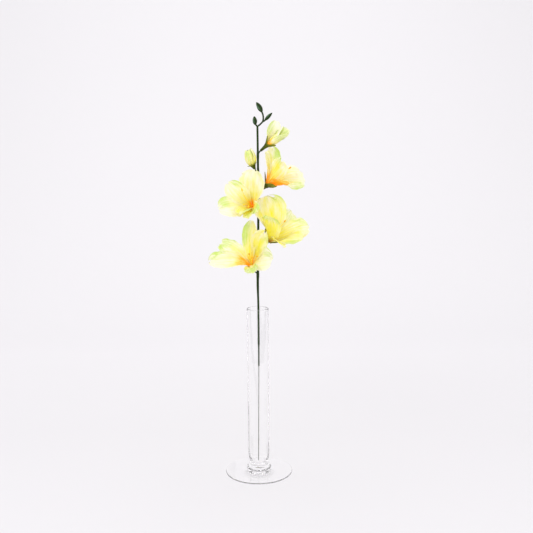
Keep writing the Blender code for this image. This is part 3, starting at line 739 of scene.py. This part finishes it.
def vase_profile():
    """Half the vase's section, from the floor's centre over the rim and down to the underside."""
    bore = TUBE_RADIUS - WALL
    lip = WALL / 2
    straight = VASE_HEIGHT - 2 * WALL
    knop = (KNOP_RADIUS - KNOP_BULGE, KNOP_MIDDLE_Z, KNOP_BULGE)
    edge = FOOT_EDGE / 2
    points = [(0.0, FLOOR_Z), (FLOOR_RADIUS / 2, FLOOR_Z)]
    points += taper((FLOOR_RADIUS, FLOOR_Z), (bore, BORE_TAPER_TOP), spread(0, 90, TAPER_ROWS))
    points += [(bore, height) for height in spread(BORE_TAPER_TOP, straight, STRAIGHT_ROWS)[1:]]
    points += arc(bore + lip, VASE_HEIGHT - lip, lip, spread(180, 0, LIP_ROWS))
    points += [(TUBE_RADIUS, height) for height in spread(straight, TUBE_TAPER_TOP, STRAIGHT_ROWS)[:-1]]
    points += taper((WAIST_RADIUS, WAIST_Z), (TUBE_RADIUS, TUBE_TAPER_TOP),
                    spread(90, WAIST_ANGLE, TAPER_ROWS))
    waist = Vector((WAIST_RADIUS + WAIST_OUT, WAIST_Z - WAIST_DROP))
    top = Vector(arc(*knop, [KNOP_ANGLE])[0])
    points += curve(Vector(points[-1]), waist, waist.lerp(top, 0.5), top, WAIST_ROWS)[1:-1]
    points += arc(*knop, spread(KNOP_ANGLE, -KNOP_ANGLE, KNOP_ROWS))
    neck, level = points[-1]
    for radius in spread(neck, FOOT_RADIUS - FOOT_EDGE, FOOT_ROWS)[1:]:
        fall = exp((neck - radius) / FOOT_FLARE)
        points.append((radius, FOOT_EDGE + (level - FOOT_EDGE) * fall))
    points += arc(FOOT_RADIUS - edge, edge, edge, spread(90, -90, EDGE_ROWS))
    return points + [(FOOT_RADIUS - FOOT_EDGE, 0.0), (0.0, 0.0)]


def make_vase(look):
    """The vase, turned in one closed surface."""
    profile = vase_profile()
    turns = [tau * column / VASE_COLUMNS for column in range(VASE_COLUMNS)]
    verts = [(0.0, 0.0, profile[0][1])]
    for radius, height in profile[1:-1]:
        verts.extend((radius * cos(turn), radius * sin(turn), height) for turn in turns)
    verts.append((0.0, 0.0, profile[-1][1]))
    faces = closed_skin(1, VASE_COLUMNS, len(profile) - 2, 0, len(verts) - 1)
    finish_piece(solid("glass_vase", verts, faces), look, "vase", 60)


def stem_point(height):
    """The stem's centreline at a height: a smooth curve through its route."""
    last = len(STEM_ROUTE) - 2
    at = next((i for i in range(last) if height <= STEM_ROUTE[i + 1][2]), last)
    ends = [Vector(STEM_ROUTE[i]) for i in (max(at - 1, 0), at, at + 1, min(at + 2, last + 1))]
    before, start, end, after = ends
    span = end.z - start.z
    leave = (end - before) / (end.z - before.z) * span
    arrive = (after - start) / (after.z - start.z) * span
    share = (height - start.z) / span
    square, cube = share ** 2, share ** 3
    point = (start * (2 * cube - 3 * square + 1) + leave * (cube - 2 * square + share)
             + end * (3 * square - 2 * cube) + arrive * (cube - square))
    point.z = height
    return point


def tube(name, points, radii, sides, ribs=0, depth=0.0, twist=0.0):
    """A closed tube through points, with a radius at each, and shallow ribs along it."""
    across = SIDEWAYS
    verts = [points[0]]
    for step, (point, radius) in enumerate(zip(points, radii)):
        ahead = points[min(step + 1, len(points) - 1)] - points[max(step - 1, 0)]
        ahead.normalize()
        across = (across - ahead * across.dot(ahead)).normalized()
        other = ahead.cross(across)
        for side in range(sides):
            turn = tau * side / sides
            swell = 1 + depth * cos(ribs * turn + twist * step)
            verts.append(point + turned(across, other, turn) * radius * swell)
    verts.append(points[-1])
    return solid(name, verts, closed_skin(1, sides, len(points), 0, len(verts) - 1))


def rounded(route, count):
    """A smooth run of points through a route."""
    spots = [Vector(point) * MM for point in route]
    points = []
    for i in range(len(spots) - 1):
        before, start, end, after = (spots[max(i - 1, 0)], spots[i], spots[i + 1],
                                     spots[min(i + 2, len(spots) - 1)])
        leave = start + (end - before) / 6
        arrive = end - (after - start) / 6
        points.extend(bezier(start, leave, arrive, end, step / count) for step in range(count))
    return points + [spots[-1]]


def union(obj, others):
    """Join solids into one closed skin and remove them."""
    group = bpy.data.collections.new("operands")
    SCENE.collection.children.link(group)
    for other in others:
        SCENE.collection.objects.unlink(other)
        group.objects.link(other)
    step = obj.modifiers.new("union", "BOOLEAN")
    step.operation = "UNION"
    step.operand_type = "COLLECTION"
    step.collection = group
    step.solver = "EXACT"
    graph = bpy.context.evaluated_depsgraph_get()
    mesh = bpy.data.meshes.new_from_object(obj.evaluated_get(graph))
    obj.modifiers.clear()
    obj.data = mesh
    for other in others:
        bpy.data.objects.remove(other)
    bpy.data.collections.remove(group)


def bloom_frame(bloom):
    """The bloom's base, its axis, and two directions square to it, the first one upwards."""
    axis = Vector(bloom.axis).normalized()
    first = (UP - axis * UP.dot(axis)).normalized()
    return Vector(bloom.base) * MM, axis, first, axis.cross(first)


def branch(bloom):
    """The side branch from inside the stem to the socket in the bloom's calyx."""
    base, axis = bloom_frame(bloom)[:2]
    start = stem_point(bloom.root * MM)
    mouth = base - axis * (bloom.sleeve * MM + BRANCH_STRAIGHT)
    reach = (mouth - start).length
    leave = start + UP * reach * BRANCH_RISE + (mouth - start) * BRANCH_LEAN
    arrive = mouth - axis * reach * BRANCH_ARRIVAL
    points = curve(start, leave, arrive, mouth, BRANCH_ROWS)
    points.append(base - axis * (bloom.sleeve * MM - SOCKET_DEPTH + GAP))
    radii = spread(BRANCH_RADIUS, BRANCH_END_RADIUS, BRANCH_ROWS) + [BRANCH_END_RADIUS]
    return tube("branch", points, radii, *LIMB_SECTION)


def closed_bud(foot, tip, radius):
    """A closed green bud: three bracts wrapped into an almond with a fine point."""
    foot, tip = Vector(foot) * MM, Vector(tip) * MM
    points = []
    radii = []
    for share in spread(0, 1, BUD_ROWS):
        along = min(1.0, BUD_BLUNTNESS + (1 - BUD_BLUNTNESS) * share) ** BUD_WEIGHT
        arch = UP * radius * MM * BUD_ARCH * sin(pi * share)
        points.append(foot.lerp(tip, share) + arch)
        radii.append(radius * MM * max(BUD_POINT, sin(pi * along) ** BUD_FULLNESS))
    radii[-1] *= BUD_TIP
    return tube("closed_bud", points, radii, BUD_SIDES, BUD_RIDGES, BUD_RIDGE_DEPTH,
                BUD_TWIST / (BUD_ROWS - 1))


def painted_highlight_at(point):
    """How much painted highlight the stem gets at a place: 0, or more along the ridges of a closed bud.
    """
    for foot, tip, radius in CLOSED_BUDS:
        foot, tip = Vector(foot) * MM, Vector(tip) * MM
        ahead = tip - foot
        share = (point - foot).dot(ahead) / ahead.length_squared
        off = point - foot.lerp(tip, share)
        if 0 < share < 1 and off.length < BUD_REACH * radius * MM:
            across = SIDEWAYS - ahead * (SIDEWAYS.dot(ahead) / ahead.length_squared)
            turn = atan2(off.dot(ahead.cross(across).normalized()), off.dot(across.normalized()))
            crest = max(0.0, cos(BUD_RIDGES * turn + BUD_TWIST * share))
            return sin(pi * share) ** 2 * crest ** 3
    return 0.0


def joint_swell(level):
    """How much the branches' joints thicken the stem at a level."""
    offs = [(level / MM - bloom.root) * MM / JOINT_LENGTH for bloom in BLOOMS + BUDS]
    return JOINT_SWELL * max(exp(-off ** 2) for off in offs)


def make_stem(look):
    """The green moulding: stem, branches, forked top and closed buds."""
    levels = spread(STEM_BOTTOM_Z, STEM_TOP_Z, STEM_ROWS)
    radii = [table(STEM_RADII, level) + joint_swell(level) for level in levels]
    stem = tube("stem_moulding", [stem_point(level) for level in levels], radii, *STEM_SECTION)
    limbs = [branch(bloom) for bloom in BLOOMS + BUDS]
    for route in TWIGS:
        points = rounded(route, TWIG_ROWS)
        radii = [TWIG_RADIUS] * len(points)
        limbs.append(tube("twig", points, radii, *LIMB_SECTION))
    limbs.extend(closed_bud(*row) for row in CLOSED_BUDS)
    union(stem, limbs)
    # Paint a highlight along each closed bud's ridges
    tag(stem.data, "painted_ridge_highlight", [painted_highlight_at(vert.co) for vert in stem.data.vertices])
    finish_piece(stem, look, "stem")


def make_wire(look):
    """The wire, from the vase's floor up to the stem's neck and inside it."""
    points = [stem_point(level) for level in spread(FLOOR_Z + GAP, WIRE_TOP_Z, WIRE_ROWS)]
    wire = tube("bare_wire", points, [WIRE_RADIUS] * WIRE_ROWS, *WIRE_SECTION)
    finish_piece(wire, look, "stem_wire")


def tag(mesh, name, values):
    """Keep a number for each vertex, which a material reads."""
    mesh.attributes.new(name, "FLOAT", "POINT").data.foreach_set("value", values)


def make_calyx(bloom, look):
    """The green cup: a ribbed sleeve on the branch, three pointed lobes, and a peg."""
    base, axis, first, second = bloom_frame(bloom)
    slope = radians(bloom.lobe_slope)
    cup = bloom.ring_radius * MM + CUP_CLEARANCE
    outside = cup + CALYX_WALL
    bottom = -bloom.sleeve * MM
    socket = bottom + SOCKET_DEPTH
    lip = RING_HIGH - LIP_BELOW_RING
    longest = bloom.lobe_length * MM
    top = PEG_TOP if bloom.anthers else BUD_PEG_TOP
    turns = [tau * column / CALYX_COLUMNS for column in range(CALYX_COLUMNS)]

    def level(height, radius, pale=0.0, rib=0.0):
        """A level ring: the height, radius and paleness of each point."""
        return [(height, radius + rib * cos(CALYX_RIBS * turn), pale) for turn in turns]

    def lobe(share, inset):
        """A ring that is a share of the way up the lobes, inset from their outside."""
        ring = []
        for turn in turns:
            rise = (1 + cos(LOBES * turn)) / 2
            sharp = rise ** (LOBE_SHARPNESS + LOBE_NARROWING * share)
            reach = share * (LIP_LENGTH + (longest - LIP_LENGTH) * sharp)
            keel = KEEL * rise ** KEEL_SHARPNESS * sin(pi * share)
            ring.append((lip + reach * cos(slope) + inset * sin(slope),
                         outside + reach * sin(slope) - inset * cos(slope)
                         + (keel if inset < CALYX_WALL / 2 else 0),
                         LIP_PALE + (1 - LIP_PALE) * share))
        return ring

    rings = [level(socket, SOCKET_RADIUS), level(bottom, SOCKET_RADIUS),
             level(bottom, SLEEVE_RADIUS * SLEEVE_EDGE), level(bottom + SLEEVE_ROUNDING, SLEEVE_RADIUS)]
    for share in spread(0, 1, SLEEVE_ROWS)[1:]:
        swell = SLEEVE_RADIUS * (1 + (SLEEVE_SWELL - 1) * min(1.0, share * SLEEVE_SWELL_RATE))
        flare = (outside * SLEEVE_FLARE - swell) * share ** 3
        rings.append(level(bottom + (SLEEVE_TOP - bottom) * share, swell + flare, SLEEVE_PALE * share,
                           CALYX_RIB * share))
    rings += [lobe(share, 0.0) for share in spread(0, 1, LOBE_ROWS)]
    rings += [lobe(share, CALYX_WALL * depth) for share, depth in LOBE_EDGE]
    rings += [level(lip, cup, CUP_PALE), level(CALYX_FLOOR, cup - CUP_DRAFT, SLEEVE_PALE),
              level(CALYX_FLOOR, PEG_RADIUS, SLEEVE_PALE), level(top, PEG_RADIUS, SLEEVE_PALE)]
    verts = [base + axis * socket, base + axis * top]
    along = [0.0, SLEEVE_PALE]
    for ring in rings:
        for turn, (height, radius, pale) in zip(turns, ring):
            out = turned(first, second, turn + radians(bloom.lobe_turn))
            verts.append(base + axis * height + out * radius)
            along.append(pale)
    piece = solid(bloom.name + "_cup", verts, closed_skin(2, CALYX_COLUMNS, len(rings), 0, 1))
    tag(piece.data, "along", along)
    finish_piece(piece, look, bloom.name + "_calyx", 60)


def outline(share, full):
    """A petal's half-width along it, from 0 at the claw to 1 where it is full."""
    if share < full:
        return sin(pi / 2 * share / full) ** RISE_POWER
    over = (share - full) / (1 - full)
    return max(TIP_WIDTH, sqrt(max(0.0, 1 - over ** FALL_POWER)))


def petal_surface(bloom, petal, order):
    """The blade of a petal: a point for across of -1 to 1 and share of 0 to 1 along it."""
    base, axis, first, second = bloom_frame(bloom)
    out = turned(first, second, radians(petal.around))
    reach = Vector(petal.tip) * MM
    length = reach.length
    chord = reach.normalized()
    away = (chord * chord.dot(axis) - axis).normalized()
    scale = bloom.ring_radius * MM / OPEN_RING_RADIUS
    radius, lean, narrowing = OUTER_CLAW if petal.outer else INNER_CLAW
    angle = radians(lean + bloom.opening)
    claw = CLAW_WIDTH / 2 * scale * narrowing
    widest = petal.width * MM / 2
    start = base + axis * (RING_LOW + RING_HIGH) / 2 + out * (radius * scale)
    leave = start + turned(axis, out, angle) * length * CLAW_REACH
    end = base + reach
    arrive = end - (chord + away * petal.curl).normalized() * length * TIP_REACH
    side_low = axis.cross(out)
    side_high = axis.cross(reach).normalized()
    seed = Vector((order * SEED_BY_ORDER, bloom.root * SEED_BY_ROOT, 0.0))
    soft = 1.0 if bloom.anthers else BUD_SOFTNESS

    def spine(share):
        """A place on the petal's middle line."""
        return bezier(start, leave, arrive, end, min(1.0, max(0.0, share)))

    def surface(across, share):
        """A place on the blade, and the direction square to it."""
        spot = Vector((across * widest, share * length, 0.0))
        rim = max(smooth(*SIDE_BAND, abs(across)), smooth(*RIM_BAND, share)) * smooth(*FREE_BAND, share)
        notch = NOTCH * soft * (noise.noise(spot / NOTCH_SIZE + seed) - NOTCH_MIDDLE)
        share = min(1.0, share * (1 + notch * smooth(*TIP_BAND, share)))
        along = (spine(share + SLOPE_STEP) - spine(share - SLOPE_STEP)).normalized()
        ease = smooth(0.0, 1.0, share)
        side = side_low.lerp(side_high, ease)
        side = (side - along * side.dot(along)).normalized()
        inward = along.cross(side)
        roll = radians(petal.roll) * ease
        side, inward = turned(side, inward, roll), turned(inward, -side, roll)
        half = widest * outline(share, petal.full)
        if share < petal.full:
            half += claw * (1 - outline(share, petal.full))
        half *= 1 + NOTCH * noise.noise(spot / NOTCH_SIZE - seed) * rim
        sign, edge, shift = (1, petal.right, WAVE_SHIFT) if across > 0 else (-1, petal.left, 0)
        bend = radians(CLAW_CUP + (edge - CLAW_CUP) * min(1.0, share / CUP_OPENS_BY))
        angle = bend * abs(across)
        ripple = sin(tau * WAVES * share + shift)
        frill = noise.noise(spot / RUFFLE_SIZE + seed * 2) * rim
        crumple = noise.noise(spot / CRUMPLE_SIZE + seed) * smooth(*CRUMPLE_BAND, share)
        pleat = cos(pi * PLEATS * across + PLEAT_WANDER * noise.noise(spot / CRUMPLE_SIZE))
        pleat *= smooth(*PLEAT_BAND, share)
        pleat *= PLEAT_AT_MIDDLE + (1 - PLEAT_AT_MIDDLE) * abs(across)
        pleat *= 1 - PLEAT_TIP_FADE * smooth(*TIP_BAND, share)
        sideways = half * sin(angle) / bend * sign
        lift = half * (1 - cos(angle)) / bend + petal.wave * MM * (share * across) ** 2 * ripple
        lift += soft * (RUFFLE * frill + CRUMPLE * crumple) + PLEAT_DEPTH * pleat
        return spine(share) + side * sideways + inward * lift, turned(inward, -side * sign, angle)

    return surface, length, widest


def dyed(dye, across, share):
    """The yellow, green and orange at a place on a petal."""
    off = abs(across)
    yellow = dye.yellow + (1 - dye.yellow) * CLAW_YELLOW * exp(-(share / CLAW_YELLOW_TO) ** 2)
    yellow *= 1 - YELLOW_FADE * max(off ** YELLOW_POWER, smooth(*TIP_BAND, share))
    lean = smooth(*GREEN_SIDE_BAND, across * dye.side) if dye.side else 1.0
    edge = share + GREEN_EDGE_LEAD * off ** 2
    green = dye.green * smooth(dye.green_from, dye.green_from + GREEN_LENGTH, edge) * lean
    green *= 1 - GREEN_FADE * smooth(*GREEN_TIP_BAND, share)
    orange = dye.orange * exp(-(share / dye.orange_to) ** ORANGE_POWER) * (1 - ORANGE_FADE * off ** 2)
    return yellow, green, orange


def add_petal(bloom, petal, order, verts, faces, dyes, places):
    """Add one petal as a thin closed sheet, with its dyes and its place in the cloth."""
    surface, length, widest = petal_surface(bloom, petal, order)
    shares = [1 - (1 - step / PETAL_ROWS) ** TIP_CROWDING for step in range(PETAL_ROWS + 1)]
    acrosses = [2 * step / PETAL_COLUMNS - 1 for step in range(PETAL_COLUMNS + 1)]
    sheet = [[surface(across, share) for across in acrosses] for share in shares]
    sides = []
    for half in (0.5, -0.5):
        grid = []
        for share, line in zip(shares, sheet):
            row = []
            for across, (point, normal) in zip(acrosses, line):
                row.append(len(verts))
                verts.append(point + normal * CLOTH_THICKNESS * half)
                dyes.append(dyed(petal.dye, across, share))
                places.append((across * widest / CLOTH_UNIT + order * CLOTH_SHIFT,
                               share * length / CLOTH_UNIT))
            grid.append(row)
        sides.append(grid)
    inner, outer = sides
    for row in range(PETAL_ROWS):
        for column in range(PETAL_COLUMNS):
            corners = [(row, column), (row, column + 1), (row + 1, column + 1), (row + 1, column)]
            faces.append([inner[up][along] for up, along in corners])
            faces.append([outer[up][along] for up, along in reversed(corners)])
    faces.extend(bridge(border(inner), border(outer)))


def add_ring(bloom, verts, faces, dyes, places):
    """Add the moulded disc that the petals' claws are set in."""
    base, axis, first, second = bloom_frame(bloom)
    rim = bloom.ring_radius * MM
    loops = []
    for height, radius in ((RING_LOW, RING_HOLE_RADIUS), (RING_LOW, rim), (RING_HIGH, rim),
                           (RING_HIGH, RING_HOLE_RADIUS)):
        loops.append(list(range(len(verts), len(verts) + RING_COLUMNS)))
        for column in range(RING_COLUMNS):
            out = turned(first, second, tau * column / RING_COLUMNS)
            verts.append(base + axis * height + out * radius)
            dyes.append(RING_DYE)
            places.append((column / RING_COLUMNS, height / MM))
    for low, high in zip(loops, loops[1:] + loops[:1]):
        faces.extend(bridge(low, high))


def make_petals(bloom, look):
    """All the petals of one bloom, on their disc."""
    verts, faces, dyes, places = [], [], [], []
    add_ring(bloom, verts, faces, dyes, places)
    for order, petal in enumerate(bloom.petals):
        add_petal(bloom, petal, order, verts, faces, dyes, places)
    piece = solid(bloom.name + "_cloth", verts, faces)
    colours = piece.data.color_attributes.new("dye", "FLOAT_COLOR", "POINT")
    colours.data.foreach_set("color", [value for dye in dyes for value in (*dye, 1.0)])
    cloth = piece.data.uv_layers.new(name="cloth")
    for loop in piece.data.loops:
        cloth.data[loop.index].uv = places[loop.vertex_index]
    finish_piece(piece, look, bloom.name + "_petals", 70)


def make_stamens(bloom, look):
    """The stamen cluster: a cap on the peg, three filaments and their grooved anthers."""
    base, axis = bloom_frame(bloom)[:2]
    low = base + axis * (RING_HIGH + GAP)
    points = [low + axis * height * MM for height, width in CAP_ROWS]
    radii = [CAP_RADIUS * width for height, width in CAP_ROWS]
    cap = tube(bloom.name + "_cluster", points, radii, CAP_SIDES)
    start = base + axis * (PEG_TOP + FILAMENT_ROOT)
    ends = [base + Vector(anther) * MM for anther in bloom.anthers]
    limbs = []
    for end in ends:
        leave = start + axis * (end - start).length * FILAMENT_LEAVING
        arrive = end.lerp(leave, FILAMENT_ARRIVAL)
        points = curve(start, leave, arrive, end, FILAMENT_ROWS)
        radii = spread(FILAMENT_RADIUS, FILAMENT_TIP_RADIUS, FILAMENT_ROWS)
        limbs.append(tube("filament", points, radii, FILAMENT_SIDES))
        along = (points[-1] - points[-2]).normalized()
        steps = spread(-0.5, 0.5, ANTHER_ROWS)
        points = [end + along * ANTHER_LENGTH * step for step in steps]
        radii = [ANTHER_RADIUS * max(ANTHER_END, sqrt(1 - (2 * step) ** 2)) for step in steps]
        limbs.append(tube("anther", points, radii, *ANTHER_SECTION))
    union(cap, limbs)
    tint = []
    for vert in cap.data.vertices:
        near = min((vert.co - end).length for end in ends) / RIPE_REACH
        tint.append(bloom.ripe * exp(-near ** 2))
    tag(cap.data, "along", tint)
    finish_piece(cap, look, bloom.name + "_stamens")


def make_stage():
    """A pale floor that rises into a backdrop behind the vase, and the dark cards."""
    back = FLOOR_DEPTHS[-1]
    points = [(depth, 0.0) for depth in FLOOR_DEPTHS]
    for turn in spread(CURVE_START, pi / 2, CURVE_ROWS):
        points.append((back + CURVE_RADIUS * sin(turn), CURVE_RADIUS * (1 - cos(turn))))
    points.append((back + CURVE_RADIUS, BACKDROP_TOP))
    verts = [(side, depth, height - FLOOR_DROP) for depth, height in points
             for side in (-SHEET_HALF_WIDTH, SHEET_HALF_WIDTH)]
    faces = [(2 * i, 2 * i + 1, 2 * i + 3, 2 * i + 2) for i in range(len(points) - 1)]
    mesh = bpy.data.meshes.new("backdrop")
    mesh.from_pydata(verts, [], faces)
    mesh.shade_smooth()
    paper = Nodes("backdrop_paper", {"Roughness": 1.0, "Specular IOR Level": 0.0})
    depth = paper.add("ShaderNodeSeparateXYZ", {0: paper.spot()}).outputs["Y"]
    paper.paint(paper.mix(paper.swing(depth, PALER_BY, PALER_FROM, clamp=True), NEAR_PAPER, FAR_PAPER))
    mesh.materials.append(paper.material)
    place("backdrop", mesh)
    for row in CARDS:
        add_card(*row)


def add_card(name, start, end, low, high, paleness, mirrored):
    """An upright card from start to end on the floor plan, seen only by the glass."""
    mesh = bpy.data.meshes.new(name)
    mesh.from_pydata([(*start, low), (*end, low), (*end, high), (*start, high)], [], [(0, 1, 2, 3)])
    grey = (paleness, paleness, paleness, 1.0)
    mesh.materials.append(Nodes(name, {"Base Color": grey, "Roughness": 1.0}).material)
    card = place(name, mesh)
    card.visible_camera = card.visible_diffuse = card.visible_shadow = False
    card.visible_glossy = mirrored
    card.visible_transmission = not mirrored


def area_light(name, spot, target, size, power):
    """A square soft light that faces a target."""
    light = bpy.data.lights.new(name, "AREA")
    light.size = size
    light.energy = power
    lamp = place(name, light)
    lamp.location = spot
    lamp.rotation_euler = (Vector(target) - Vector(spot)).to_track_quat("-Z", "Y").to_euler()
    lamp.visible_glossy = lamp.visible_transmission = False


def make_lights():
    """Even studio light from all round, with a soft key from the left."""
    world = bpy.data.worlds.new("studio")
    world.use_nodes = True
    sky = world.node_tree.nodes["Background"].inputs
    sky["Color"].default_value = SKY
    sky["Strength"].default_value = SKY_STRENGTH
    SCENE.world = world
    SCENE.view_settings.view_transform = "Standard"
    for row in LAMPS:
        area_light(*row)


def main():
    """Make every piece and the studio."""
    make_camera()
    make_vase(glass_material())
    make_wire(plastic_material("wire_skin", WIRE_SHADES, roughness=0.45))
    make_stem(plastic_material("stem_plastic", STEM_SHADES, roughness=0.55))
    cloth = cloth_material("petal_cloth", sheerness=0.4)
    bud_cloth = cloth_material("bud_cloth", sheerness=0.15)
    olive = calyx_material()
    orange = stamen_material()
    for bloom in BLOOMS + BUDS:
        make_calyx(bloom, olive)
        make_petals(bloom, cloth if bloom.anthers else bud_cloth)
        if bloom.anthers:
            make_stamens(bloom, orange)
    make_stage()
    make_lights()


main()
